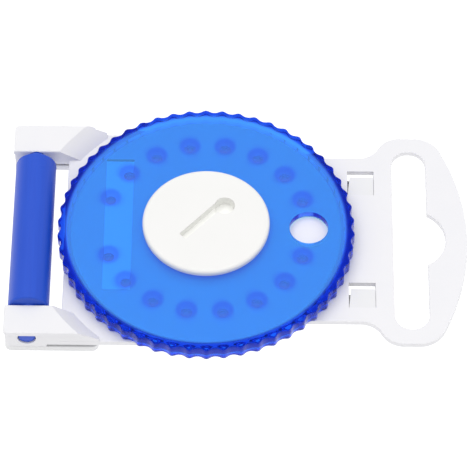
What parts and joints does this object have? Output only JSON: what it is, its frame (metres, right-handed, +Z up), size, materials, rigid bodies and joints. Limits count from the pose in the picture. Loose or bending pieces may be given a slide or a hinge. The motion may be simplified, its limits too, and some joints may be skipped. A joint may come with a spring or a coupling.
{
  "type": "wax guard dispenser wheel",
  "caption": "Flat moulded dispenser: a translucent blue scalloped thumb wheel with an access hole turns over guard pockets in a white frame with a hang tab and an end roller.",
  "frame": {"origin": "on the wheel's axis, on the bottom cover's flat underside, which is the resting surface", "axes": "+X from the wheel to the hang tab, +Y along the roller's axis, +Z up along the wheel's axis"},
  "size_m": [0.0676, 0.0438, 0.0065],
  "materials": {
    "white_plastic": "moulded satin",
    "clear_blue_plastic": "moulded translucent, glossy",
    "blue_plastic": "moulded semi-gloss",
    "guard_plastic": "moulded"
  },
  "bodies": {
    "frame": {"frame": "white_plastic", "bottom_cover": "white_plastic", "hub_cap": "white_plastic", "wax_guard_01": "guard_plastic", "wax_guard_02": "guard_plastic", "wax_guard_03": "guard_plastic", "wax_guard_04": "guard_plastic", "wax_guard_05": "guard_plastic", "wax_guard_06": "guard_plastic", "wax_guard_07": "guard_plastic", "wax_guard_08": "guard_plastic", "wax_guard_09": "guard_plastic", "wax_guard_10": "guard_plastic", "wax_guard_11": "guard_plastic", "wax_guard_12": "guard_plastic", "wax_guard_13": "guard_plastic", "wax_guard_14": "guard_plastic", "wax_guard_15": "guard_plastic", "wax_guard_16": "guard_plastic"},
    "wheel": {"dispensing_wheel": "clear_blue_plastic"},
    "roller": {"end_roller": "blue_plastic"}
  },
  "joints": [
    {"name": "wheel_spin", "type": "hinge", "parent": "frame", "child": "wheel", "pos_m": [0, 0, 0.0045], "axis": [0, 0, 1], "continuous": true},
    {"name": "roller_spin", "type": "hinge", "parent": "frame", "child": "roller", "pos_m": [-0.0256, 0, 0.00305], "axis": [0, 1, 0], "continuous": true}
  ]
}
